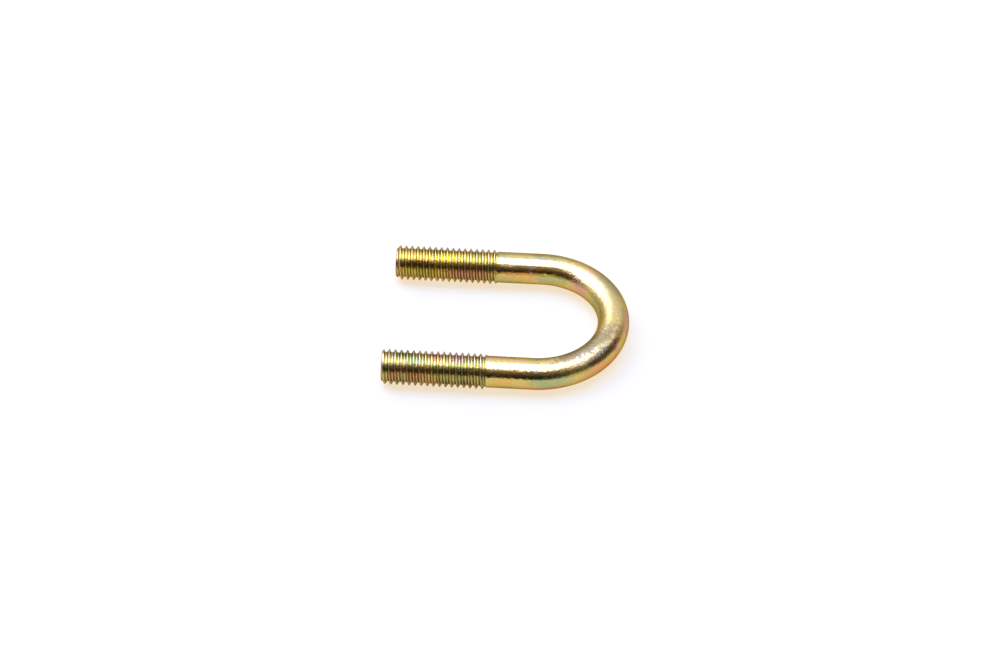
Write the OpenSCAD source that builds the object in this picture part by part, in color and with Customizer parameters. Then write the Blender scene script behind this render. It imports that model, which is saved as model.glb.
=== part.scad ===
// U-bolt bent from one length of round rod, for holding a round pipe against a plate.
// A half-round bow joins two plain shanks, and each shank ends in a metric thread and a bevelled point.
// Millimetres, +Z up. The origin is on the axis of the held pipe, level with the centre of the rod.
// The bow bulges towards +X and the legs run towards -X. "left" is the +Y leg, "right" the -Y leg.

/* [Bow] */
// Clear width between the plain shanks, which is also the diameter of the pipe it holds
inside_width = 20; // [16:0.5:24]
// Diameter of the plain rod
rod_dia = 5.25; // [5.2:0.01:5.32]

/* [Legs] */
// Height over all, from the outside of the bow to the ends of the legs
overall_height = 40; // [38:1:60]
// Number of full thread turns on each leg
thread_turns = 17; // [6:1:19]
// Length of the plain bevelled point at the end of each leg
point_length = 0.5; // [0.3:0.1:0.8]
// Bevel on the rim of each point
point_bevel = 0.2; // [0.1:0.05:0.3]

/* [Thread] */
// Diameter over the thread crests
major_dia = 5.9; // [5.8:0.01:5.97]
// Diameter at which thread and groove are equally wide
pitch_dia = 5.26; // [5.22:0.01:5.32]
// Diameter at the bottom of the thread grooves
minor_dia = 4.77; // [4.7:0.01:4.8]

/* [Hidden] */
// Coarse pitch of the 6 mm metric thread and its flank angle, both fixed by the thread standard
pitch = 1;
flank_angle = 30;

rod_r = rod_dia / 2;
major_r = major_dia / 2;
pitch_r = pitch_dia / 2;
minor_r = minor_dia / 2;

// Bend radius at the centre of the rod, and the straight length of each leg
bend_r = inside_width / 2 + rod_r;
leg_length = overall_height - bend_r - rod_r;

// Half the width of a crest flat, and half the width of a thread ridge at its foot
flank_slope = tan(flank_angle);
crest_half = pitch / 4 - (major_r - pitch_r) * flank_slope;
foot_half = crest_half + (major_r - minor_r) * flank_slope;

// The thread starts at the point and ends where its last flank meets the plain rod
last_crest = (thread_turns - 0.5) * pitch;
thread_length = last_crest + crest_half + (major_r - rod_r) * flank_slope;
shank_length = leg_length - point_length - thread_length;

gold = [0.83, 0.71, 0.42];
thread_gold = [0.70, 0.62, 0.40];
cut_gold = [0.62, 0.57, 0.42];

$fn = 96;

// One ridge of the thread, as radius and height along the leg
function ridge(at) = [
    [minor_r, at - foot_half],
    [major_r, at - crest_half],
    [major_r, at + crest_half],
    [minor_r, at + foot_half]
];

// All ridges but the last, which ends on the plain rod instead of in a groove
function ridges() = [
    for (turn = [0 : thread_turns - 2])
        for (corner = ridge((turn + 0.5) * pitch))
            corner
];

function thread_outline() = concat(
    [[0, 0], [minor_r, 0]],
    ridges(),
    [
        [minor_r, last_crest - foot_half],
        [major_r, last_crest - crest_half],
        [major_r, last_crest + crest_half],
        [rod_r, thread_length],
        [0, thread_length]
    ]
);

function point_outline() = [
    [0, 0],
    [minor_r - point_bevel, 0],
    [minor_r, point_bevel],
    [minor_r, point_length],
    [0, point_length]
];

// Places a piece, drawn upwards from z = 0, along a leg at a distance from the leg's end
module along_leg(side, from_end) {
    translate([from_end - leg_length, side * bend_r, 0])
        rotate([0, 90, 0])
            children();
}

module bow() {
    color(gold)
        rotate([0, 0, -90])
            rotate_extrude(angle = 180)
                translate([bend_r, 0])
                    circle(r = rod_r);
}

module shank(side) {
    along_leg(side, point_length + thread_length)
        cylinder(h = shank_length, r = rod_r);
}

module shank_left() {
    color(gold)
        shank(1);
}

module shank_right() {
    color(gold)
        shank(-1);
}

module thread(side) {
    along_leg(side, point_length)
        rotate_extrude()
            polygon(thread_outline());
}

module thread_left() {
    color(thread_gold)
        thread(1);
}

module thread_right() {
    color(thread_gold)
        thread(-1);
}

module point(side) {
    along_leg(side, 0)
        rotate_extrude()
            polygon(point_outline());
}

module point_left() {
    color(cut_gold)
        point(1);
}

module point_right() {
    color(cut_gold)
        point(-1);
}

bow();
shank_left();
shank_right();
thread_left();
thread_right();
point_left();
point_right();
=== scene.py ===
"""Visual model of a bare u-bolt: one bent steel rod with a rolled thread at each end.

It is zinc plated with a yellow chromate.
"""

import logging
import math
from dataclasses import dataclass, field, replace
from enum import Enum
from typing import Any

import bpy
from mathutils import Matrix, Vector


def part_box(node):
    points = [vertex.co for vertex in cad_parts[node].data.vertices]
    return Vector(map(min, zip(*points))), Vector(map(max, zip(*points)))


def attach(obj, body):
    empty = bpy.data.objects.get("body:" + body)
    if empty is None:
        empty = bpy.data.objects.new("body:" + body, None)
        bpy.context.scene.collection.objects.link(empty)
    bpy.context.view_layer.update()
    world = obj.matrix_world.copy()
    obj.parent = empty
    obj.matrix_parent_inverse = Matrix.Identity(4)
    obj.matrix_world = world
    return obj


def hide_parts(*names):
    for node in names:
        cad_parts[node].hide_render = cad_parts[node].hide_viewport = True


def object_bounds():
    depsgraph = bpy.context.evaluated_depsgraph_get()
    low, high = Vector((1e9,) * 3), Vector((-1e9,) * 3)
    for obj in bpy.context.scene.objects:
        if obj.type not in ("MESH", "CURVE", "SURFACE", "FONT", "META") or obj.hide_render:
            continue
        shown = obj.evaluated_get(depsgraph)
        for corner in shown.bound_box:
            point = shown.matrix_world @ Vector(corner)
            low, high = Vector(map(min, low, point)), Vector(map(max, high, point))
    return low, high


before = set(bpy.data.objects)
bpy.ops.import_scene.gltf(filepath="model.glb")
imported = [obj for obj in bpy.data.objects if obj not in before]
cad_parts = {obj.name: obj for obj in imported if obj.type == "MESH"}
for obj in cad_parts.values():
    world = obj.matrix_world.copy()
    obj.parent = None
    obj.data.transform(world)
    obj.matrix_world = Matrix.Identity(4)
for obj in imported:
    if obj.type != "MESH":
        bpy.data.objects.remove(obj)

CAD_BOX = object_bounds()
MM = 0.001
BODY = "root"
# Thread flanks lean this far from square to the leg, by the thread standard.
FLANK_ANGLE = math.radians(30)
# Edges with a sharper turn than this are left as corners.
CORNER_ANGLE = math.radians(50)
# Corners of a mesh that lie closer than this are one corner.
MERGE_DISTANCE = 0.001 * MM

Tree = bpy.types.NodeTree
Socket = bpy.types.NodeSocket
Colour = tuple[float, float, float, float]

log = logging.getLogger("u_bolt")


class Side(Enum):
    """The two legs of the bolt, by the sign of their place across the bolt."""

    LEFT = 1
    RIGHT = -1

    @property
    def suffix(self) -> str:
        """The end of this leg's node and piece names."""
        return self.name.lower()


class Slot(Enum):
    """The record's material slots."""

    ROD = "plated_rod"
    THREAD = "plated_thread"
    END = "plated_end"


# --------------------------------------------------------------------------------------------------
# Small helpers for colours and node trees


def linear(hex_colour: str) -> Colour:
    """Turns an sRGB hex colour into linear red, green, blue and alpha.

    Args:
        hex_colour: Six hex digits, with or without a leading hash.

    Returns:
        The colour as Blender's sockets take it.
    """
    digits = hex_colour.lstrip("#")
    parts = (int(digits[i:i + 2], 16) / 255 for i in (0, 2, 4))
    # The curve and its numbers are the sRGB standard's.
    red, green, blue = (c / 12.92 if c <= 0.04045 else ((c + 0.055) / 1.055) ** 2.4 for c in parts)
    return red, green, blue, 1.0


def add_node(
    tree: Tree, kind: str, inputs: dict[Any, Any] | None = None, **settings: Any
) -> bpy.types.Node:
    """Adds one node to a tree, with its settings, values and links.

    Args:
        tree: The node tree.
        kind: The node's type name.
        inputs: Values for its input sockets, by name or number. A socket as a value is linked.
        **settings: Properties to set on the node before its inputs.

    Returns:
        The new node.
    """
    node = tree.nodes.new(kind)
    for name, value in settings.items():
        setattr(node, name, value)
    for key, value in (inputs or {}).items():
        socket = node.inputs[key]
        if isinstance(value, Socket):
            tree.links.new(value, socket)
        else:
            socket.default_value = value
    return node


def set_ramp(node: bpy.types.Node, stops: list[tuple[float, Colour]]) -> None:
    """Gives a colour ramp its stops.

    Args:
        node: The colour ramp node.
        stops: Positions from 0 to 1, each with its linear colour.
    """
    elements = node.color_ramp.elements
    while len(elements) > 1:
        elements.remove(elements[-1])
    elements[0].position, elements[0].color = stops[0]
    for position, colour in stops[1:]:
        elements.new(position).color = colour


# --------------------------------------------------------------------------------------------------
# The bolt's sizes, all taken from the frame


@dataclass(frozen=True)
class BoltSizes:
    """The sizes of the bolt in metres, read from the CAD nodes' boxes."""

    rod_radius: float
    bend_radius: float
    crest_radius: float
    tip_x: float
    point_length: float
    shank_start_x: float

    @classmethod
    def from_frame(cls) -> "BoltSizes":
        """Reads the sizes from the boxes of the left leg's nodes, which the right leg mirrors.

        Returns:
            The sizes.
        """
        shank_low, shank_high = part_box("shank_left")
        thread_low, thread_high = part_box("thread_left")
        point_low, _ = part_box("point_left")
        return cls(
            rod_radius=(shank_high.z - shank_low.z) / 2,
            bend_radius=(shank_high.y + shank_low.y) / 2,
            crest_radius=(thread_high.z - thread_low.z) / 2,
            tip_x=point_low.x,
            point_length=thread_low.x - point_low.x,
            shank_start_x=shank_low.x,
        )

    @property
    def thread_end(self) -> float:
        """Distance from the end of a leg to where its plain shank starts."""
        return self.shank_start_x - self.tip_x


# --------------------------------------------------------------------------------------------------
# Geometry Nodes


class GeometryTree:
    """A Geometry Nodes tree with named inputs, which turns into plain meshes."""

    def __init__(self, name: str, inputs: dict[str, str]) -> None:
        """Makes the tree with its named inputs.

        Args:
            name: The tree's name.
            inputs: The kind of socket for each input name.
        """
        self.tree = bpy.data.node_groups.new(name, "GeometryNodeTree")
        sockets = self.tree.interface
        for label, kind in inputs.items():
            sockets.new_socket(name=label, in_out="INPUT", socket_type=f"NodeSocket{kind}")
        sockets.new_socket(name="Geometry", in_out="OUTPUT", socket_type="NodeSocketGeometry")
        given = add_node(self.tree, "NodeGroupInput").outputs
        # Every value in the tree by its name: the inputs, and then the results as they are worked out
        self.known: dict[Any, Socket] = {label: given[label] for label in inputs}

    def work_out(self, rows: tuple[tuple[Any, ...], ...]) -> Socket:
        """Adds a run of nodes, each of which works on values that are known by then.

        Args:
            rows: For each node a name for its result, its kind, its operation or None, and its inputs in
                order, as names of known values or as numbers.

        Returns:
            The last node's result.
        """
        result = None
        for name, kind, operation, *values in rows:
            settings = {"operation": operation} if operation else {}
            inputs = {place: self.known.get(value, value) for place, value in enumerate(values)}
            result = add_node(self.tree, f"ShaderNode{kind}", inputs, **settings).outputs[0]
            self.known[name] = result
        return result

    def finish(self, geometry: Socket) -> None:
        """Marks sharp edges, realises instances, sets the material and ends the tree.

        Args:
            geometry: The finished geometry's socket.
        """
        angle = add_node(self.tree, "GeometryNodeInputMeshEdgeAngle").outputs["Unsigned Angle"]
        sharp = add_node(
            self.tree, "FunctionNodeCompare", {0: angle, 1: CORNER_ANGLE}, data_type="FLOAT"
        )
        smooth = add_node(
            self.tree, "GeometryNodeSetShadeSmooth", {"Geometry": geometry, "Shade Smooth": True}
        )
        creased = add_node(
            self.tree,
            "GeometryNodeSetShadeSmooth",
            {"Geometry": smooth.outputs[0], "Selection": sharp.outputs[0], "Shade Smooth": False},
            domain="EDGE",
        )
        real = add_node(
            self.tree, "GeometryNodeRealizeInstances", {"Geometry": creased.outputs[0]}
        )
        dressed = add_node(
            self.tree,
            "GeometryNodeSetMaterial",
            {"Geometry": real.outputs[0], "Material": self.known["Material"]},
        )
        add_node(self.tree, "NodeGroupOutput", {"Geometry": dressed.outputs[0]})

    def make(self, name: str, values: dict[str, Any]) -> bpy.types.Object:
        """Runs the tree once and keeps the result as a plain mesh object.

        Args:
            name: The piece's name.
            values: A value for each named input.

        Returns:
            The new object, at the origin, with no modifier.
        """
        piece = bpy.data.objects.new(name, bpy.data.meshes.new(name))
        bpy.context.scene.collection.objects.link(piece)
        modifier = piece.modifiers.new("shape", "NODES")
        modifier.node_group = self.tree
        for item in self.tree.interface.items_tree:
            if item.in_out == "INPUT":
                modifier[item.identifier] = values[item.name]
        bpy.context.view_layer.update()
        shaped = piece.evaluated_get(bpy.context.evaluated_depsgraph_get())
        mesh = bpy.data.meshes.new_from_object(shaped)
        piece.modifiers.remove(modifier)
        piece.data = mesh
        mesh.name = name
        return piece


class RodTree(GeometryTree):
    """Sweeps a round rod along a straight or bent path, with the faint waves of a drawn and bent rod."""

    def __init__(self) -> None:
        """Builds the tree."""
        super().__init__(
            "RodStretch",
            {
                "Rod Radius": "Float",
                "Bend Radius": "Float",
                "Straight Length": "Float",
                "Side": "Float",
                "Steps Along": "Int",
                "Steps Around": "Int",
                "Wave Depth": "Float",
                "Wave Size": "Float",
                "Seed": "Float",
                "Material": "Material",
            },
        )
        self.finish(self._waved(self._swept(self._path())))

    def _path(self) -> Socket:
        """The rod's centre line: a straight leg where it has a length, or else the half circle.

        Returns:
            The centre line.
        """
        known = self.known
        arc = add_node(
            self.tree,
            "GeometryNodeCurveArc",
            {
                "Resolution": known["Steps Along"],
                "Radius": known["Bend Radius"],
                "Start Angle": -math.pi / 2,
                "Sweep Angle": math.pi,
            },
            mode="RADIUS",
        )
        self.work_out((
            ("leg place", "Math", "MULTIPLY", "Bend Radius", "Side"),
            ("far end x", "Math", "MULTIPLY", "Straight Length", -1.0),
            ("far end", "CombineXYZ", None, "far end x", "leg place"),
            ("near end", "CombineXYZ", None, 0.0, "leg place"),
            ("is straight", "Math", "GREATER_THAN", "Straight Length", 0.0),
        ))
        line = add_node(
            self.tree,
            "GeometryNodeCurvePrimitiveLine",
            {"Start": known["far end"], "End": known["near end"]},
        )
        stepped = add_node(
            self.tree,
            "GeometryNodeResampleCurve",
            {"Curve": line.outputs[0], "Count": known["Steps Along"]},
        )
        path = add_node(
            self.tree,
            "GeometryNodeSwitch",
            {"Switch": known["is straight"], "False": arc.outputs[0], "True": stepped.outputs[0]},
            input_type="GEOMETRY",
        )
        return path.outputs[0]

    def _swept(self, path: Socket) -> Socket:
        """The round section swept along a path, with closed ends.

        Args:
            path: The centre line.

        Returns:
            The rod's mesh.
        """
        section = add_node(
            self.tree,
            "GeometryNodeCurvePrimitiveCircle",
            {"Resolution": self.known["Steps Around"], "Radius": self.known["Rod Radius"]},
            mode="RADIUS",
        )
        rod = add_node(
            self.tree,
            "GeometryNodeCurveToMesh",
            {"Curve": path, "Profile Curve": section.outputs[0], "Fill Caps": True},
        )
        return rod.outputs[0]

    def _waved(self, rod: Socket) -> Socket:
        """The rod with shallow hollows pressed into it, never outwards, so that it keeps to its size.

        Args:
            rod: The rod's mesh.

        Returns:
            The rod with its waves.
        """
        place = add_node(self.tree, "GeometryNodeInputPosition").outputs[0]
        apart = add_node(self.tree, "ShaderNodeSeparateXYZ", {0: place}).outputs
        self.known.update(place=place, x=apart[0], y=apart[1])
        # The nearest point of the centre line is on the half circle where x is positive, and on the leg
        # where it isn't.
        self.work_out((
            ("x on bow", "Math", "MAXIMUM", "x", 0.0),
            ("bow place", "CombineXYZ", None, "x on bow", "y"),
            ("bow direction", "VectorMath", "NORMALIZE", "bow place"),
            ("bow centre", "VectorMath", "MULTIPLY", "bow direction", "Bend Radius"),
            ("x on leg", "Math", "MINIMUM", "x", 0.0),
            ("leg offset", "CombineXYZ", None, "x on leg"),
            ("centre", "VectorMath", "ADD", "bow centre", "leg offset"),
            ("spoke", "VectorMath", "SUBTRACT", "place", "centre"),
            ("outward", "VectorMath", "NORMALIZE", "spoke"),
            ("waves per metre", "Math", "DIVIDE", 1.0, "Wave Size"),
        ))
        self.known["waves"] = add_node(
            self.tree,
            "ShaderNodeTexNoise",
            {
                "Vector": place,
                "W": self.known["Seed"],
                "Scale": self.known["waves per metre"],
                "Detail": 2.0,
                "Roughness": 0.35,
            },
            noise_dimensions="4D",
        ).outputs[0]
        press = self.work_out((
            ("inward", "Math", "MULTIPLY", "Wave Depth", -1.0),
            ("depth", "Math", "MULTIPLY", "waves", "inward"),
            ("press", "VectorMath", "MULTIPLY", "outward", "depth"),
        ))
        pressed = add_node(self.tree, "GeometryNodeSetPosition", {"Geometry": rod, "Offset": press})
        return pressed.outputs[0]


class ThreadTree(GeometryTree):
    """Wraps a right-hand thread round a stretch of a leg, from one distance from its end to another.

    A grid of rows that follow the helix is rolled into a tube. Rows past either end are held at that
    end, where they fall together and are merged, so the ends come out flat and closed.
    """

    def __init__(self) -> None:
        """Builds the tree."""
        super().__init__(
            "RolledThread",
            {
                "From": "Float",
                "To": "Float",
                "Pitch": "Float",
                "First Crest": "Float",
                "Crest Radius": "Float",
                "Pitch Radius": "Float",
                "Root Radius": "Float",
                "Root Rounding": "Float",
                "Crest Rounding": "Float",
                "Rod Radius": "Float",
                "Run Out": "Float",
                "Thread End": "Float",
                "Face Radius": "Float",
                "Bevel Slope": "Float",
                "Rim Break": "Float",
                "Wear Depth": "Float",
                "Wear Size": "Float",
                "Seed": "Float",
                "Steps Per Pitch": "Int",
                "Steps Around": "Int",
                "Place": "Vector",
                "Material": "Material",
            },
        )
        grid = self._grid()
        self._place_on_helix()
        self._outline()
        self._wear()
        self._roll(grid)

    def _grid(self) -> Socket:
        """A flat grid with enough rows to follow the helix, and a row at each end to close the tube.

        Returns:
            The grid, one unit long and wide, round the origin.
        """
        self.work_out((
            ("span", "Math", "SUBTRACT", "To", "From"),
            ("pitches", "Math", "DIVIDE", "span", "Pitch"),
            ("turns", "Math", "ADD", "pitches", 1.0),
            ("part rows", "Math", "MULTIPLY", "turns", "Steps Per Pitch"),
            ("whole rows", "Math", "CEIL", "part rows"),
            ("rows", "Math", "ADD", "whole rows", 3.0),
            ("columns", "Math", "ADD", "Steps Around", 1.0),
        ))
        grid = add_node(
            self.tree,
            "GeometryNodeMeshGrid",
            {
                "Size X": 1.0,
                "Size Y": 1.0,
                "Vertices X": self.known["columns"],
                "Vertices Y": self.known["rows"],
            },
        )
        return grid.outputs["Mesh"]

    def _place_on_helix(self) -> None:
        """Works out each corner's part of a turn round the leg and its distance from the leg's end."""
        corner = add_node(self.tree, "GeometryNodeInputPosition").outputs[0]
        apart = add_node(self.tree, "ShaderNodeSeparateXYZ", {0: corner}).outputs
        self.known.update(x=apart[0], y=apart[1])
        self.work_out((
            ("turn", "Math", "ADD", "x", 0.5),
            ("last row", "Math", "SUBTRACT", "rows", 1.0),
            ("row share", "Math", "ADD", "y", 0.5),
            ("row unrounded", "Math", "MULTIPLY", "row share", "last row"),
            ("row", "Math", "ROUND", "row unrounded"),
            ("row past close", "Math", "SUBTRACT", "row", 1.0),
            ("row turns", "Math", "DIVIDE", "row past close", "Steps Per Pitch"),
            ("row start", "Math", "SUBTRACT", "row turns", 1.0),
            ("helix turns", "Math", "ADD", "row start", "turn"),
            ("along helix", "Math", "MULTIPLY", "helix turns", "Pitch"),
            ("unheld", "Math", "ADD", "along helix", "From"),
            ("held at start", "Math", "MAXIMUM", "unheld", "From"),
            ("from end", "Math", "MINIMUM", "held at start", "To"),
            ("angle", "Math", "MULTIPLY", "turn", math.tau),
            ("cosine", "Math", "COSINE", "angle"),
            ("sine", "Math", "SINE", "angle"),
        ))

    def _outline(self) -> None:
        """Works out the outline: straight flanks, a round root and crest, a run-out and a bevel."""
        self.work_out((
            # Distance from the nearest crest in pitches, and from the nearest groove's middle in metres
            ("past first crest", "Math", "SUBTRACT", "from end", "First Crest"),
            ("pitches past", "Math", "DIVIDE", "past first crest", "Pitch"),
            ("wraps", "Math", "SUBTRACT", "pitches past", "turn"),
            ("wraps and half", "Math", "ADD", "wraps", 0.5),
            ("wrap share", "Math", "FRACT", "wraps and half"),
            ("beside crest", "Math", "SUBTRACT", "wrap share", 0.5),
            ("off crest", "Math", "ABSOLUTE", "beside crest"),
            ("groove share", "Math", "SUBTRACT", 0.5, "off crest"),
            ("off groove", "Math", "MULTIPLY", "groove share", "Pitch"),
            # The flank passes through the pitch radius a quarter of the way from groove to groove.
            ("quarter pitch", "Math", "DIVIDE", "Pitch", 4.0),
            ("off flank", "Math", "SUBTRACT", "off groove", "quarter pitch"),
            ("flank rise", "Math", "MULTIPLY", "off flank", 1 / math.tan(FLANK_ANGLE)),
            ("flank", "Math", "ADD", "Pitch Radius", "flank rise"),
            # A round root takes the flank's place below where their slopes are the same.
            ("rounding squared", "Math", "MULTIPLY", "Root Rounding", "Root Rounding"),
            ("off groove squared", "Math", "MULTIPLY", "off groove", "off groove"),
            ("drop squared", "Math", "SUBTRACT", "rounding squared", "off groove squared"),
            ("drop squared held", "Math", "MAXIMUM", "drop squared", 0.0),
            ("drop", "Math", "SQRT", "drop squared held"),
            ("root centre", "Math", "ADD", "Root Radius", "Root Rounding"),
            ("root", "Math", "SUBTRACT", "root centre", "drop"),
            ("root half width", "Math", "MULTIPLY", "Root Rounding", math.cos(FLANK_ANGLE)),
            ("in root", "Math", "LESS_THAN", "off groove", "root half width"),
        ))
        self.known["groove"] = add_node(
            self.tree,
            "GeometryNodeSwitch",
            {
                "Switch": self.known["in root"],
                "False": self.known["flank"],
                "True": self.known["root"],
            },
            input_type="FLOAT",
        ).outputs[0]
        self.work_out((
            ("full", "Math", "SMOOTH_MIN", "groove", "Crest Radius", "Crest Rounding"),
            # Past the last turn the outline eases into the plain rod.
            ("before end", "Math", "SUBTRACT", "Thread End", "from end"),
            ("run", "Math", "DIVIDE", "before end", "Run Out"),
            ("run above 0", "Math", "MAXIMUM", "run", 0.0),
            ("run to 1", "Math", "MINIMUM", "run above 0", 1.0),
            ("ease", "Math", "SUBTRACT", 2.0, "run to 1"),
            ("kept", "Math", "MULTIPLY", "run to 1", "ease"),
            ("above rod", "Math", "SUBTRACT", "full", "Rod Radius"),
            ("kept above rod", "Math", "MULTIPLY", "above rod", "kept"),
            ("ran out", "Math", "ADD", "Rod Radius", "kept above rod"),
            # A cone from the end's flat face takes the crests down, and a steeper one breaks its rim.
            ("bevel rise", "Math", "MULTIPLY", "from end", "Bevel Slope"),
            ("bevel", "Math", "ADD", "Face Radius", "bevel rise"),
            ("bevelled", "Math", "SMOOTH_MIN", "ran out", "bevel", "Crest Rounding"),
            ("rim start", "Math", "SUBTRACT", "Face Radius", "Rim Break"),
            ("rim", "Math", "ADD", "rim start", "from end"),
            ("unworn", "Math", "SMOOTH_MIN", "bevelled", "rim", "Crest Rounding"),
        ))

    def _wear(self) -> None:
        """Works out the radius with the crests knocked back and the grooves left alone."""
        self.work_out((
            ("skin y", "Math", "MULTIPLY", "cosine", "Crest Radius"),
            ("skin z", "Math", "MULTIPLY", "sine", "Crest Radius"),
            ("skin place", "CombineXYZ", None, "from end", "skin y", "skin z"),
            ("dents per metre", "Math", "DIVIDE", 1.0, "Wear Size"),
        ))
        self.known["dents"] = add_node(
            self.tree,
            "ShaderNodeTexNoise",
            {
                "Vector": self.known["skin place"],
                "W": self.known["Seed"],
                "Scale": self.known["dents per metre"],
                "Detail": 3.0,
            },
            noise_dimensions="4D",
        ).outputs[0]
        self.work_out((
            ("height", "Math", "SUBTRACT", "unworn", "Rod Radius"),
            ("crest height", "Math", "SUBTRACT", "Crest Radius", "Rod Radius"),
            ("height share", "Math", "DIVIDE", "height", "crest height"),
            ("crest", "Math", "MAXIMUM", "height share", 0.0),
            ("crest dents", "Math", "MULTIPLY", "dents", "crest"),
            ("wear", "Math", "MULTIPLY", "crest dents", "Wear Depth"),
            ("radius", "Math", "SUBTRACT", "unworn", "wear"),
        ))

    def _roll(self, grid: Socket) -> None:
        """Rolls the grid into the threaded stretch and closes its ends at the axis.

        Args:
            grid: The flat grid.
        """
        placed = self.work_out((
            ("past first row", "Math", "GREATER_THAN", "row", 0.5),
            ("last row edge", "Math", "SUBTRACT", "last row", 0.5),
            ("before last row", "Math", "LESS_THAN", "row", "last row edge"),
            ("off axis", "Math", "MULTIPLY", "past first row", "before last row"),
            ("rolled radius", "Math", "MULTIPLY", "radius", "off axis"),
            ("rolled y", "Math", "MULTIPLY", "rolled radius", "cosine"),
            ("rolled z", "Math", "MULTIPLY", "rolled radius", "sine"),
            ("rolled", "CombineXYZ", None, "from end", "rolled y", "rolled z"),
            ("placed", "VectorMath", "ADD", "rolled", "Place"),
        ))
        tube = add_node(self.tree, "GeometryNodeSetPosition", {"Geometry": grid, "Position": placed})
        merged = add_node(
            self.tree,
            "GeometryNodeMergeByDistance",
            {"Geometry": tube.outputs[0], "Distance": MERGE_DISTANCE},
        )
        self.finish(merged.outputs[0])


# --------------------------------------------------------------------------------------------------
# Finishes

# Distances from a spot's middle in half sizes of the spot: how much the noise adds to them at most, and
# where the cover is still full and then gone
EDGE_RAG = 1.6
EDGE_FULL = 1.4
EDGE_GONE = 2.1
# A noise keeps mostly between these.
NOISE_RANGE = (0.3, 0.7)
# Added to a finish's seed, so that its patches and its drift differ from its grain
PATCH_SEED = 3.0
DRIFT_SEED = 9.0


@dataclass(frozen=True)
class Skin:
    """What a finish is laid on: the material's node tree, and what all its layers share."""

    tree: Tree
    # Object coordinates in millimetres
    in_mm: Socket
    # The noise that eats into the edges of patches and scuffs
    ragged: Socket
    sizes: BoltSizes


@dataclass(frozen=True)
class Spot:
    """A place on the rod's skin with soft, ragged edges.

    It is given by the distance along the rod's centre line from the middle of the bow, towards the left
    leg, and by the angle round the rod: 0 on the outer side of the bend, 90 on top and 180 on the inner
    side.
    """

    along_mm: float
    around: float
    length_mm: float
    width_mm: float

    def mask(self, skin: Skin, strength: float) -> Socket:
        """How far the spot covers each place.

        Args:
            skin: What it is laid on.
            strength: Its cover in the middle.

        Returns:
            The cover, from 0 to the strength.
        """
        bend, rod = skin.sizes.bend_radius / MM, skin.sizes.rod_radius / MM
        reach = min(abs(self.along_mm), bend * math.pi / 2)
        turn = math.copysign(reach / bend, self.along_mm)
        outward = Vector((math.cos(turn), math.sin(turn), 0.0))
        rise = math.radians(self.around)
        down_leg = Vector((reach - abs(self.along_mm), 0.0, rod * math.sin(rise)))
        place = outward * (bend + rod * math.cos(rise)) + down_leg
        near = add_node(
            skin.tree,
            "ShaderNodeMapping",
            {
                "Vector": skin.in_mm,
                "Location": place,
                "Rotation": (0.0, 0.0, turn + math.pi / 2),
                "Scale": (self.length_mm / 2, self.width_mm / 2, self.width_mm / 2),
            },
            vector_type="TEXTURE",
        )
        away = add_node(skin.tree, "ShaderNodeVectorMath", {0: near.outputs[0]}, operation="LENGTH")
        eaten = add_node(
            skin.tree,
            "ShaderNodeMath",
            {0: skin.ragged, 1: EDGE_RAG, 2: away.outputs["Value"]},
            operation="MULTIPLY_ADD",
        )
        return add_node(
            skin.tree,
            "ShaderNodeMapRange",
            {
                "Value": eaten.outputs[0],
                "From Min": EDGE_GONE,
                "From Max": EDGE_FULL,
                "To Max": strength,
            },
            interpolation_type="SMOOTHSTEP",
        ).outputs[0]


@dataclass(frozen=True)
class FilmAndShadePatch:
    """A spot of another colour: mostly thicker or thinner film, in a few places painted shade."""

    spot: Spot
    colour: str
    strength: float = 0.8


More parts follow.
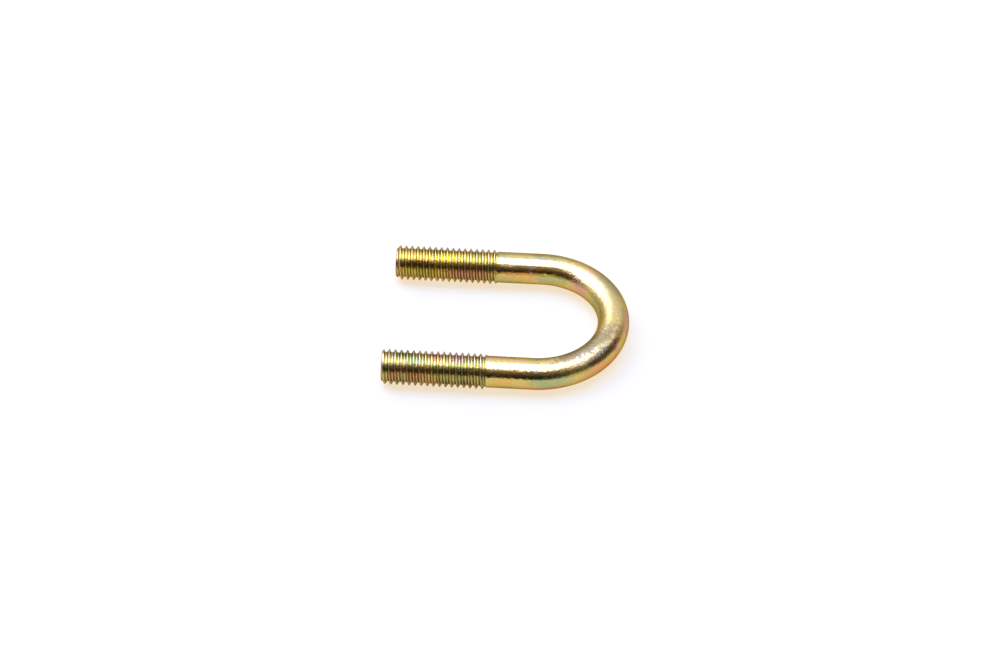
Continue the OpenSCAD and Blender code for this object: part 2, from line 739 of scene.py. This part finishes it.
@dataclass(frozen=True)
class ChromateFinish:
    """Bright zinc plating under a yellow chromate film on steel.

    The film is a fraction of a micron thick and its thickness drifts over a few millimetres, so the gold
    wanders into amber, rose and olive green. Under it the metal keeps the fine grain of the drawn rod.
    Where the rod was bent the skin has roughened, and the bending tool has left scuffs.
    """

    name: str
    # The film's colours from thin to thick
    film: tuple[str, ...]
    bare: str = "#C9C4B8"
    # The film drinks up light that skims it, so the metal darkens at its outline and doesn't turn white.
    edge: str = "#B4A888"
    # The colour of the painted shade in the thread's grooves
    stain: str = "#8A7232"
    film_patch_mm: float = 3.6
    film_drift_mm: float = 11.0
    # How much of the film's thickness is the wide drift, and the part of the noise that its colours span
    drift_share: float = 0.35
    film_span: tuple[float, float] = (0.36, 0.64)
    # The real grain is finer than this and is drawn as coarse as it needs to show.
    grain_mm: float = 0.4
    # How far the grain darkens and lightens the film
    grain_shade: tuple[float, float] = (0.88, 1.06)
    # How fine the ragged edges of patches and scuffs are
    rags_per_mm: float = 1.3
    # How fine a scuff's specks are, and the part of their noise in which they fade in
    specks_per_mm: float = 2.9
    speck_span: tuple[float, float] = (0.5, 0.64)
    # How fine the clouds of roughness are
    clouds_per_mm: float = 0.7
    roughness: float = 0.11
    roughness_swing: float = 0.06
    bend_roughness: float = 0.19
    scuff_roughness: float = 0.18
    grain_height_mm: float = 0.055
    bend_grain_height_mm: float = 0.07
    scuff_depth_mm: float = 0.008
    # Where the skin starts to roughen and where it is fully rough, from the legs' ends towards the bow's
    # middle, measured from the held pipe's axis
    bend_span_mm: tuple[float, float] = (-1.0, 9.0)
    # How far below the thread's largest radius the skin counts as groove, and as crest
    crest_span_mm: tuple[float, float] = (0.5, 0.02)
    # How bare the crests are, and how far up from groove to crest the wear starts
    crest_wear: float = 0.0
    crest_wear_start: float = 0.72
    # How far the grooves are painted darker, as painted shade
    groove_stain: float = 0.0
    # Finishes with the same seed have patches that run on from one to the other.
    seed: float = 0.0
    patches: tuple[FilmAndShadePatch, ...] = ()
    scuffs: tuple[Spot, ...] = ()

    def build(self, sizes: BoltSizes) -> bpy.types.Material:
        """Makes the material.

        Args:
            sizes: The bolt's sizes, for what depends on the distance from the rod's centre.

        Returns:
            The material.
        """
        material = bpy.data.materials.new(self.name)
        material.use_nodes = True
        tree = material.node_tree
        tree.nodes.clear()
        coords = add_node(tree, "ShaderNodeTexCoord").outputs["Object"]
        to_mm = add_node(tree, "ShaderNodeMapping", {"Vector": coords, "Scale": (1 / MM,) * 3})
        ragged = add_node(
            tree,
            "ShaderNodeTexNoise",
            {"Vector": to_mm.outputs[0], "Scale": self.rags_per_mm, "Detail": 4.0, "Roughness": 0.6},
        )
        skin = Skin(tree, to_mm.outputs[0], ragged.outputs[0], sizes)
        grain = self._grain(skin)
        bend = self._bend(skin)
        scuff = self._scuff(skin)
        crest = self._crest(skin)
        tinted = self._film(skin)
        # Patches of other film colours, and a few of painted shade
        for patch in self.patches:
            cover = patch.spot.mask(skin, patch.strength)
            tinted = add_node(
                tree,
                "ShaderNodeMix",
                {"Factor": cover, "A": tinted, "B": linear(patch.colour)},
                data_type="RGBA",
            ).outputs[2]
        shader = add_node(
            tree,
            "ShaderNodeBsdfPrincipled",
            {
                "Base Color": self._aged(skin, tinted, grain, scuff, crest),
                "Metallic": 1.0,
                "Roughness": self._roughness(skin, bend, scuff),
                "Normal": self._bump(skin, grain, bend, scuff),
                "Specular Tint": linear(self.edge),
            },
        )
        add_node(tree, "ShaderNodeOutputMaterial", {"Surface": shader.outputs[0]})
        return material

    def _grain(self, skin: Skin) -> Socket:
        """The fine grain of the plated skin.

        Args:
            skin: What the finish is laid on.

        Returns:
            The grain, from 0 to 1.
        """
        return add_node(
            skin.tree,
            "ShaderNodeTexNoise",
            {
                "Vector": skin.in_mm,
                "W": self.seed,
                "Scale": 1 / self.grain_mm,
                "Detail": 2.0,
                "Roughness": 0.6,
            },
            noise_dimensions="4D",
        ).outputs[0]

    def _bend(self, skin: Skin) -> Socket:
        """How far the metal was stretched by bending.

        Args:
            skin: What the finish is laid on.

        Returns:
            The stretch, from 0 on the legs to 1 over the bow.
        """
        x = add_node(skin.tree, "ShaderNodeSeparateXYZ", {0: skin.in_mm}).outputs[0]
        start, full = self.bend_span_mm
        return add_node(
            skin.tree,
            "ShaderNodeMapRange",
            {"Value": x, "From Min": start, "From Max": full},
            interpolation_type="SMOOTHSTEP",
        ).outputs[0]

    def _scuff(self, skin: Skin) -> Any:
        """Where tools rubbed the skin, broken into specks.

        Args:
            skin: What the finish is laid on.

        Returns:
            The rubbing, from 0 to 1, as a socket, or the number 0 where the finish has no scuffs.
        """
        specks = add_node(
            skin.tree,
            "ShaderNodeTexNoise",
            {"Vector": skin.in_mm, "Scale": self.specks_per_mm, "Detail": 4.0, "Roughness": 0.72},
        )
        start, full = self.speck_span
        cut = add_node(
            skin.tree,
            "ShaderNodeMapRange",
            {"Value": specks.outputs[0], "From Min": start, "From Max": full},
        )
        rubbed: Any = 0.0
        for spot in self.scuffs:
            cover = spot.mask(skin, 1.0)
            rubbed = add_node(
                skin.tree,
                "ShaderNodeMath",
                {0: cover, 1: cut.outputs[0], 2: rubbed},
                operation="MULTIPLY_ADD",
            ).outputs[0]
        return rubbed

    def _crest(self, skin: Skin) -> Socket:
        """Height between a thread's groove and its crest, by distance from the leg's centre line.

        Args:
            skin: What the finish is laid on.

        Returns:
            The height, from 0 to 1.
        """
        apart = add_node(skin.tree, "ShaderNodeSeparateXYZ", {0: skin.in_mm})
        side = add_node(skin.tree, "ShaderNodeMath", {0: apart.outputs[1]}, operation="ABSOLUTE")
        across = add_node(
            skin.tree,
            "ShaderNodeMath",
            {0: side.outputs[0], 1: skin.sizes.bend_radius / MM},
            operation="SUBTRACT",
        )
        spoke = add_node(
            skin.tree, "ShaderNodeCombineXYZ", {1: across.outputs[0], 2: apart.outputs[2]}
        )
        radius = add_node(
            skin.tree, "ShaderNodeVectorMath", {0: spoke.outputs[0]}, operation="LENGTH"
        )
        groove, top = self.crest_span_mm
        return add_node(
            skin.tree,
            "ShaderNodeMapRange",
            {
                "Value": radius.outputs["Value"],
                "From Min": skin.sizes.crest_radius / MM - groove,
                "From Max": skin.sizes.crest_radius / MM - top,
            },
        ).outputs[0]

    def _film(self, skin: Skin) -> Socket:
        """The colour of the film by its thickness.

        Args:
            skin: What the finish is laid on.

        Returns:
            The colour, before patches and wear.
        """
        patch = add_node(
            skin.tree,
            "ShaderNodeTexNoise",
            {
                "Vector": skin.in_mm,
                "W": self.seed + PATCH_SEED,
                "Scale": 1 / self.film_patch_mm,
                "Detail": 3.0,
                "Roughness": 0.5,
                "Distortion": 0.5,
            },
            noise_dimensions="4D",
        )
        drift = add_node(
            skin.tree,
            "ShaderNodeTexNoise",
            {
                "Vector": skin.in_mm,
                "W": self.seed + DRIFT_SEED,
                "Scale": 1 / self.film_drift_mm,
                "Detail": 1.0,
            },
            noise_dimensions="4D",
        )
        both = add_node(
            skin.tree,
            "ShaderNodeMix",
            {"Factor": self.drift_share, "A": patch.outputs[0], "B": drift.outputs[0]},
            data_type="FLOAT",
        )
        thin, thick = self.film_span
        thickness = add_node(
            skin.tree,
            "ShaderNodeMapRange",
            {"Value": both.outputs[0], "From Min": thin, "From Max": thick},
        )
        film = add_node(skin.tree, "ShaderNodeValToRGB", {"Fac": thickness.outputs[0]})
        film.color_ramp.interpolation = "B_SPLINE"
        last = len(self.film) - 1
        set_ramp(film, [(i / last, linear(colour)) for i, colour in enumerate(self.film)])
        return film.outputs[0]

    def _aged(self, skin: Skin, tinted: Socket, grain: Socket, scuff: Any, crest: Socket) -> Socket:
        """The colour of the film with its grain, painted groove shade, and its worn crests and scuffs.

        Args:
            skin: What the finish is laid on.
            tinted: The film's colour.
            grain: The grain, from 0 to 1.
            scuff: Where tools rubbed the skin, from 0 to 1.
            crest: Height between groove and crest, from 0 to 1.

        Returns:
            The colour.
        """
        low, high = NOISE_RANGE
        dark, light = self.grain_shade
        # The grain shades the film a little, as pores hold more of it.
        shade = add_node(
            skin.tree,
            "ShaderNodeMapRange",
            {"Value": grain, "From Min": low, "From Max": high, "To Min": dark, "To Max": light},
        )
        shaded = add_node(
            skin.tree,
            "ShaderNodeMix",
            {"Factor": 1.0, "A": tinted, "B": shade.outputs[0]},
            data_type="RGBA",
            blend_type="MULTIPLY",
        )
        # Painted shade: the grooves darken towards the shade colour.
        groove = add_node(
            skin.tree, "ShaderNodeMapRange", {"Value": crest, "To Min": self.groove_stain, "To Max": 0.0}
        )
        groove_shaded = add_node(
            skin.tree,
            "ShaderNodeMix",
            {"Factor": groove.outputs[0], "A": shaded.outputs[2], "B": linear(self.stain)},
            data_type="RGBA",
        )
        worn = add_node(
            skin.tree,
            "ShaderNodeMapRange",
            {"Value": crest, "From Min": self.crest_wear_start, "To Max": self.crest_wear},
        )
        rubbed = add_node(
            skin.tree, "ShaderNodeMath", {0: worn.outputs[0], 1: scuff}, operation="MAXIMUM"
        )
        return add_node(
            skin.tree,
            "ShaderNodeMix",
            {"Factor": rubbed.outputs[0], "A": groove_shaded.outputs[2], "B": linear(self.bare)},
            data_type="RGBA",
        ).outputs[2]

    def _roughness(self, skin: Skin, bend: Socket, scuff: Any) -> Socket:
        """The roughness, which drifts a little and is higher over the bow and on scuffs.

        Args:
            skin: What the finish is laid on.
            bend: How far the metal was stretched by bending, from 0 to 1.
            scuff: Where tools rubbed the skin, from 0 to 1.

        Returns:
            The roughness.
        """
        cloud = add_node(
            skin.tree,
            "ShaderNodeTexNoise",
            {"Vector": skin.in_mm, "Scale": self.clouds_per_mm, "Detail": 4.0, "Roughness": 0.6},
        )
        low, high = NOISE_RANGE
        base = add_node(
            skin.tree,
            "ShaderNodeMapRange",
            {
                "Value": cloud.outputs[0],
                "From Min": low,
                "From Max": high,
                "To Min": self.roughness - self.roughness_swing / 2,
                "To Max": self.roughness + self.roughness_swing / 2,
            },
        )
        bent = add_node(
            skin.tree,
            "ShaderNodeMath",
            {0: bend, 1: self.bend_roughness, 2: base.outputs[0]},
            operation="MULTIPLY_ADD",
        )
        return add_node(
            skin.tree,
            "ShaderNodeMath",
            {0: scuff, 1: self.scuff_roughness, 2: bent.outputs[0]},
            operation="MULTIPLY_ADD",
        ).outputs[0]

    def _bump(self, skin: Skin, grain: Socket, bend: Socket, scuff: Any) -> Socket:
        """The grain as bumps, which grow where the metal was bent, with the scuffs sunk into them.

        Args:
            skin: What the finish is laid on.
            grain: The grain, from 0 to 1.
            bend: How far the metal was stretched by bending, from 0 to 1.
            scuff: Where tools rubbed the skin, from 0 to 1.

        Returns:
            The bumped normal.
        """
        height = add_node(
            skin.tree,
            "ShaderNodeMapRange",
            {"Value": bend, "To Min": self.grain_height_mm, "To Max": self.bend_grain_height_mm},
        )
        ups = add_node(
            skin.tree, "ShaderNodeMath", {0: grain, 1: height.outputs[0]}, operation="MULTIPLY"
        )
        torn = add_node(
            skin.tree,
            "ShaderNodeMath",
            {0: scuff, 1: -self.scuff_depth_mm, 2: ups.outputs[0]},
            operation="MULTIPLY_ADD",
        )
        return add_node(
            skin.tree, "ShaderNodeBump", {"Strength": 1.0, "Distance": MM, "Height": torn.outputs[0]}
        ).outputs[0]


# Drawn wire keeps a bright, nearly mirror-smooth skin, so the film shows as glossy clouds of colour.
ROD_FINISH = ChromateFinish(
    "yellow_chromate_on_drawn_rod",
    film=("#D89E84", "#DBB072", "#DAB86A", "#D5BA68", "#CEB768", "#C7B36B", "#BAB06C", "#ADAB70"),
    patches=(
        FilmAndShadePatch(Spot(23.3, 169, 6.5, 1.9), "#DCA862"),
        FilmAndShadePatch(Spot(17.9, 176, 6.0, 2.2), "#A8AE70"),
        FilmAndShadePatch(Spot(10.8, 168, 3.6, 1.8), "#DA9888"),
        FilmAndShadePatch(Spot(9.0, 62, 12.0, 2.6), "#B29C68", 0.6),
        FilmAndShadePatch(Spot(20.5, 58, 4.5, 1.2), "#C99A66", 0.6),
        # A duller film patch over the bow's apex that is also painted shade, dimming the highlight
        # there.
        FilmAndShadePatch(Spot(0.5, 112, 12.0, 3.6), "#B8A05C", 0.6),
        FilmAndShadePatch(Spot(-1.0, 30, 6.5, 1.8), "#DCA490", 0.7),
        FilmAndShadePatch(Spot(-9.6, 112, 15.0, 3.6), "#8C8056", 0.85),
        # Painted shade: this dark patch deepens the dark reflection band on the near half of the bow.
        FilmAndShadePatch(Spot(-8.4, 44, 9.0, 1.8), "#54482C", 0.7),
        FilmAndShadePatch(Spot(-9.2, 1, 8.5, 2.2), "#E0A468", 0.9),
        FilmAndShadePatch(Spot(-17.2, 10, 8.5, 2.6), "#A6B27A"),
        FilmAndShadePatch(Spot(-17.9, -28, 10.0, 1.1), "#DE988A"),
        FilmAndShadePatch(Spot(-24.9, 4, 3.8, 2.2), "#DCB25A"),
        FilmAndShadePatch(Spot(-23.5, 118, 6.0, 1.1), "#CC9A74", 0.6),
        FilmAndShadePatch(Spot(-17.4, 114, 4.0, 1.2), "#A8A86C", 0.6),
    ),
    scuffs=(
        Spot(-10.2, 70, 8.0, 2.0),
        Spot(21.7, 147, 2.6, 1.5),
        Spot(11.0, 152, 3.6, 0.5),
        Spot(25.0, 137, 1.4, 1.0),
        Spot(-25.5, 26, 1.4, 1.0),
    ),
)
# Thread rolling leaves the flanks satin. The grooves get painted shade; the film wears off the crests.
THREAD_FINISH = ChromateFinish(
    "yellow_chromate_on_rolled_thread",
    film=("#D6A27C", "#DAB46C", "#DCC064", "#DAC35E", "#CEBE5E", "#BEB45E", "#A8A860"),
    bare="#C2AEA6",
    edge="#BAA6A0",
    film_patch_mm=2.2,
    roughness=0.22,
    crest_wear=0.3,
    groove_stain=0.3,
    seed=20.0,
    patches=(
        FilmAndShadePatch(Spot(32.4, 170, 8.0, 2.6), "#C48E78", 0.75),
        FilmAndShadePatch(Spot(39.3, 168, 4.0, 2.2), "#B0AE50", 0.75),
        FilmAndShadePatch(Spot(40.3, 138, 5.0, 1.3), "#AC6C50", 0.5),
        FilmAndShadePatch(Spot(35.8, 106, 3.0, 2.0), "#E8D650", 0.75),
    ),
)
# The right leg's film is thinner, so more of the zinc's grey shows through it.
THIN_FINISH = replace(
    THREAD_FINISH,
    name="thin_yellow_chromate_on_rolled_thread",
    film=("#CE8A7C", "#D2A880", "#D0BA7A", "#CEC078", "#BEBA76", "#A0AE70", "#A88E62"),
    film_patch_mm=1.8,
    seed=31.0,
    patches=(
        FilmAndShadePatch(Spot(-39.2, 8, 2.6, 2.4), "#C48A68", 0.65),
        FilmAndShadePatch(Spot(-42.4, 8, 1.8, 2.4), "#CA8E70", 0.7),
        FilmAndShadePatch(Spot(-32.3, 92, 2.6, 2.2), "#DCA898", 0.65),
        FilmAndShadePatch(Spot(-38.6, 75, 3.4, 1.4), "#A8B684", 0.75),
    ),
)
# Cropping tears the ends a little, so they are the dullest part.
END_FINISH = ChromateFinish(
    "yellow_chromate_on_cropped_end",
    film=("#CC9A84", "#CCA47A", "#C8AA6C", "#BAA868", "#A8A068"),
    roughness=0.26,
    crest_wear=0.3,
    # Painted shade in the grooves, as on the threads
    groove_stain=0.2,
    seed=20.0,
)


# --------------------------------------------------------------------------------------------------
# The pieces


def dress(piece: bpy.types.Object, node: str) -> None:
    """Puts a finished piece on the frame and reports it.

    Args:
        piece: The piece.
        node: The CAD node that it stands for.
    """
    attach(piece, BODY)
    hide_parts(node)
    log.info("%s: %d faces", piece.name, len(piece.data.polygons))


@dataclass
class PlainRod:
    """The bow and the two plain shanks: the stretches of the rod that carry no thread."""

    sizes: BoltSizes
    finish: ChromateFinish
    wave_depth: float = 0.014 * MM
    wave_size: float = 3.2 * MM
    step: float = 0.2 * MM
    steps_around: int = 96
    seed: float = 4.0

    def build(self) -> None:
        """Makes the three pieces."""
        tree = RodTree()
        material = self.finish.build(self.sizes)
        self._stretch(tree, material, "bow", 0.0, Side.LEFT)
        for side in Side:
            self._stretch(tree, material, f"shank_{side.suffix}", -self.sizes.shank_start_x, side)

    def _stretch(
        self, tree: RodTree, material: bpy.types.Material, node: str, straight: float, side: Side
    ) -> None:
        """Makes one stretch of plain rod.

        Args:
            tree: The Geometry Nodes tree.
            material: The rod's material.
            node: The CAD node that it stands for.
            straight: The length of a straight stretch, or 0 for the bow.
            side: The leg that a straight stretch is on.
        """
        length = straight or math.pi * self.sizes.bend_radius
        piece = tree.make(
            f"{node}_plated",
            {
                "Rod Radius": self.sizes.rod_radius,
                "Bend Radius": self.sizes.bend_radius,
                "Straight Length": straight,
                "Side": float(side.value),
                "Steps Along": round(length / self.step) + 1,
                "Steps Around": self.steps_around,
                "Wave Depth": self.wave_depth,
                "Wave Size": self.wave_size,
                "Seed": self.seed,
                "Material": material,
            },
        )
        dress(piece, node)


def by_side(left: float, right: float) -> dict[Side, float]:
    """A value for each leg: the two threads were rolled one by one and differ a little."""
    return {Side.LEFT: left, Side.RIGHT: right}


@dataclass
class ThreadedLegs:
    """The rolled thread on each leg and the bevelled point that it starts from."""

    sizes: BoltSizes
    thread_finish: dict[Side, ChromateFinish]
    end_finish: ChromateFinish
    pitch: float = 1.0 * MM
    pitch_radius: float = 2.58 * MM
    root_radius: float = 2.385 * MM
    root_rounding: float = 0.188 * MM
    crest_rounding: float = 0.025 * MM
    run_out: float = 0.55 * MM
    # The flat face at the end of each leg, and how steeply the bevel rises from it
    face_radius: dict[Side, float] = field(default_factory=lambda: by_side(2.45 * MM, 2.72 * MM))
    bevel_slope: dict[Side, float] = field(default_factory=lambda: by_side(0.85, 0.25))
    rim_break: float = 0.07 * MM
    wear_depth: float = 0.05 * MM
    wear_size: float = 0.5 * MM
    steps_per_pitch: int = 24
    steps_around: int = 96
    # Where the first crest crosses the +Y side of each leg, measured from the leg's end
    first_crest: dict[Side, float] = field(default_factory=lambda: by_side(0.38 * MM, -0.03 * MM))

    def build(self) -> None:
        """Makes the thread and the point of each leg."""
        tree = ThreadTree()
        end_material = self.end_finish.build(self.sizes)
        point = (0.0, self.sizes.point_length)
        thread = (self.sizes.point_length, self.sizes.thread_end)
        for side in Side:
            thread_material = self.thread_finish[side].build(self.sizes)
            self._stretch(tree, thread_material, "thread", side, thread, Slot.THREAD)
            self._stretch(tree, end_material, "point", side, point, Slot.END)

    def _stretch(
        self,
        tree: ThreadTree,
        material: bpy.types.Material,
        name: str,
        side: Side,
        ends: tuple[float, float],
        slot: Slot,
    ) -> None:
        """Makes one stretch of thread.

        Args:
            tree: The Geometry Nodes tree.
            material: Its material.
            name: The start of the CAD node's name.
            side: The leg.
            ends: Where it starts and stops, measured from the end of the leg.
            slot: Not used.
        """
        piece = tree.make(
            f"{name}_{side.suffix}_plated",
            {
                "From": ends[0],
                "To": ends[1],
                "Pitch": self.pitch,
                "First Crest": self.first_crest[side],
                "Crest Radius": self.sizes.crest_radius,
                "Pitch Radius": self.pitch_radius,
                "Root Radius": self.root_radius,
                "Root Rounding": self.root_rounding,
                "Crest Rounding": self.crest_rounding,
                "Rod Radius": self.sizes.rod_radius,
                "Run Out": self.run_out,
                "Thread End": self.sizes.thread_end,
                "Face Radius": self.face_radius[side],
                "Bevel Slope": self.bevel_slope[side],
                "Rim Break": self.rim_break,
                "Wear Depth": self.wear_depth,
                "Wear Size": self.wear_size,
                "Seed": float(side.value),
                "Steps Per Pitch": self.steps_per_pitch,
                "Steps Around": self.steps_around,
                "Place": (self.sizes.tip_x, side.value * self.sizes.bend_radius, 0.0),
                "Material": material,
            },
        )
        dress(piece, f"{name}_{side.suffix}")


# --------------------------------------------------------------------------------------------------
# The studio


@dataclass(frozen=True)
class Wall:
    """One wall of the light tent.

    Its azimuth is measured from +Y towards +X. Its glow is a row of heights, in degrees from the floor's
    level, 0, to overhead, 90, each with its radiance. All angles are in degrees.
    """

    azimuth: float
    half_width: float
    glow: tuple[tuple[float, float], ...]
    fade: float = 15.0

    def light(self, tree: Tree, level: Socket, up: Socket, so_far: Any) -> Socket:
        """Adds the wall's light to the other walls'.

        Args:
            tree: The world's node tree.
            level: The direction along the floor, of length 1.
            up: The height, from 0 at the floor's level to 1 overhead.
            so_far: The other walls' light, as a socket or a number.

        Returns:
            The sum.
        """
        turn = math.radians(self.azimuth)
        facing = add_node(
            tree,
            "ShaderNodeVectorMath",
            {0: level, 1: (math.sin(turn), math.cos(turn), 0.0)},
            operation="DOT_PRODUCT",
        )
        peak = max(radiance for _, radiance in self.glow)
        share = add_node(
            tree,
            "ShaderNodeMapRange",
            {
                "Value": facing.outputs["Value"],
                "From Min": math.cos(math.radians(self.half_width + self.fade)),
                "From Max": math.cos(math.radians(self.half_width - self.fade)),
                "To Max": peak,
            },
            interpolation_type="SMOOTHSTEP",
        )
        glow = add_node(tree, "ShaderNodeValToRGB", {"Fac": up})
        parts = ((height / 90, radiance / peak) for height, radiance in self.glow)
        set_ramp(glow, [(height, (part, part, part, 1.0)) for height, part in parts])
        return add_node(
            tree,
            "ShaderNodeMath",
            {0: glow.outputs[0], 1: share.outputs[0], 2: so_far},
            operation="MULTIPLY_ADD",
        ).outputs[0]


@dataclass
class Studio:
    """A white floor inside a light tent that is darkest towards the camera, and the camera."""

    floor_size: float = 6.0
    # The sheet is milky and dull: some light comes up through it, under the bolt as well. What it glows
    # and what it scatters back sum to white.
    floor_colour: str = "#767763"
    floor_glow: str = "#D7D0CD"
    floor_roughness: float = 0.7
    # Painted bounce light: close under the bolt the glow turns to this warm colour, within this reach.
    painted_bounce_glow: str = "#F1DDBC"
    painted_bounce_reach: float = 2.2 * MM
    painted_bounce_samples: int = 8
    # The dim parts of the tent show the warmer room behind it, the brightest ones the cooler lamps. The
    # lamps' tint comes in between these radiances.
    light_colour: str = "#CFD1FF"
    light_strength: float = 1.6
    room_colour: str = "#DDBCBC"
    lamp_colour: str = "#B4C2FF"
    lamp_strength: float = 2.2
    lamp_span: tuple[float, float] = (1.2, 4.0)
    # The camera's place, in degrees round the bolt from -Y towards +X and up from the floor
    azimuth: float = 4.16
    elevation: float = 43.94
    distance: float = 521.2 * MM
    lens_mm: float = 112.2
    sensor_mm: float = 36.0
    clip: tuple[float, float] = (0.01, 20.0)
    # The point on the floor that the camera looks at, along the legs from the held pipe's axis
    aim_x: float = -6.28 * MM
    walls: tuple[Wall, ...] = (
        Wall(-65.0, 39.0, ((0, 0.5), (12, 0.65), (23, 0.9), (28, 1.6), (33, 4.5), (90, 5.5))),
        Wall(
            13.0,
            39.0,
            ((0, 0.75), (20, 0.88), (30, 1.05), (42, 1.4), (62, 1.3), (68, 2.5), (72, 5.5)),
        ),
        Wall(
            81.5,
            29.5,
            ((0, 0.1), (22, 0.12), (34, 0.34), (42, 1.15), (50, 1.8), (64, 1.9), (70, 4.0), (74, 5.5)),
        ),
        Wall(
            183.5,
            72.5,
            ((0, 0.03), (22, 0.04), (34, 0.1), (46, 0.25), (56, 0.4), (64, 0.8), (69, 3.0), (73, 5.5)),
        ),
    )

    def build(self) -> None:
        """Makes the floor, the light and the camera."""
        self._floor()
        self._tent()
        self._camera()
        bpy.context.scene.view_settings.view_transform = "Standard"

    def _floor(self) -> None:
        """A flat white sheet under the bolt, with painted warm bounce light close under it."""
        half = self.floor_size / 2
        level = CAD_BOX[0].z
        corners = [(x * half, y * half, level) for x, y in ((-1, -1), (1, -1), (1, 1), (-1, 1))]
        mesh = bpy.data.meshes.new("floor")
        mesh.from_pydata(corners, [], [(0, 1, 2, 3)])
        material = bpy.data.materials.new("matte_white_sheet")
        material.use_nodes = True
        tree = material.node_tree
        shader = tree.nodes["Principled BSDF"]
        shader.inputs["Base Color"].default_value = linear(self.floor_colour)
        shader.inputs["Roughness"].default_value = self.floor_roughness
        shader.inputs["Specular IOR Level"].default_value = 0.0
        # Painted bounce light: the sheet glows warmer where the bolt is close above it.
        open_sky = add_node(
            tree,
            "ShaderNodeAmbientOcclusion",
            {"Distance": self.painted_bounce_reach},
            samples=self.painted_bounce_samples,
        )
        glow = add_node(
            tree,
            "ShaderNodeMix",
            {
                "Factor": open_sky.outputs["AO"],
                "A": linear(self.painted_bounce_glow),
                "B": linear(self.floor_glow),
            },
            data_type="RGBA",
        )
        tree.links.new(glow.outputs[2], shader.inputs["Emission Color"])
        shader.inputs["Emission Strength"].default_value = 1.0
        mesh.materials.append(material)
        floor = bpy.data.objects.new("floor", mesh)
        bpy.context.scene.collection.objects.link(floor)

    def _tent(self) -> None:
        """The light: each wall has its own brightness at each height, and they meet overhead."""
        world = bpy.data.worlds.new("light_tent")
        bpy.context.scene.world = world
        world.use_nodes = True
        tree = world.node_tree
        tree.nodes.clear()
        direction = add_node(tree, "ShaderNodeTexCoord").outputs["Generated"]
        apart = add_node(tree, "ShaderNodeSeparateXYZ", {0: direction}).outputs
        height = add_node(tree, "ShaderNodeMath", {0: apart[2]}, operation="ARCSINE")
        up = add_node(
            tree, "ShaderNodeMath", {0: height.outputs[0], 1: math.pi / 2}, operation="DIVIDE"
        )
        flat = add_node(tree, "ShaderNodeCombineXYZ", {0: apart[0], 1: apart[1]})
        level = add_node(tree, "ShaderNodeVectorMath", {0: flat.outputs[0]}, operation="NORMALIZE")
        total: Any = 0.0
        for wall in self.walls:
            total = wall.light(tree, level.outputs[0], up.outputs[0], total)
        colour = add_node(
            tree,
            "ShaderNodeMix",
            {"Factor": total, "A": linear(self.room_colour), "B": linear(self.light_colour)},
            data_type="RGBA",
        )
        start, full = self.lamp_span
        bright = add_node(
            tree, "ShaderNodeMapRange", {"Value": total, "From Min": start, "From Max": full}
        )
        colour = add_node(
            tree,
            "ShaderNodeMix",
            {"Factor": bright.outputs[0], "A": colour.outputs[2], "B": linear(self.lamp_colour)},
            data_type="RGBA",
        )
        gain = add_node(
            tree,
            "ShaderNodeMapRange",
            {
                "Value": bright.outputs[0],
                "To Min": self.light_strength,
                "To Max": self.lamp_strength,
            },
        )
        strength = add_node(
            tree, "ShaderNodeMath", {0: total, 1: gain.outputs[0]}, operation="MULTIPLY"
        )
        light = add_node(
            tree,
            "ShaderNodeBackground",
            {"Color": colour.outputs[2], "Strength": strength.outputs[0]},
        )
        add_node(tree, "ShaderNodeOutputWorld", {"Surface": light.outputs[0]})

    def _camera(self) -> None:
        """A long lens that looks down at the bolt from in front of its right leg."""
        turn, rise = math.radians(self.azimuth), math.radians(self.elevation)
        out = math.cos(rise)
        back = Vector((math.sin(turn) * out, -math.cos(turn) * out, math.sin(rise)))
        data = bpy.data.cameras.new("camera")
        data.lens = self.lens_mm
        data.sensor_width = self.sensor_mm
        data.clip_start, data.clip_end = self.clip
        camera = bpy.data.objects.new("camera", data)
        camera.location = Vector((self.aim_x, 0.0, CAD_BOX[0].z)) + back * self.distance
        camera.rotation_euler = (-back).to_track_quat("-Z", "Y").to_euler()
        bpy.context.scene.collection.objects.link(camera)
        bpy.context.scene.camera = camera


def main() -> None:
    """Builds the bolt, piece by piece, and the studio round it."""
    logging.basicConfig(level=logging.INFO, format="%(name)s: %(message)s")
    sizes = BoltSizes.from_frame()
    PlainRod(sizes, ROD_FINISH).build()
    thread_finish = {Side.LEFT: THREAD_FINISH, Side.RIGHT: THIN_FINISH}
    ThreadedLegs(sizes, thread_finish, END_FINISH).build()
    Studio().build()


if __name__ == "__main__":
    main()
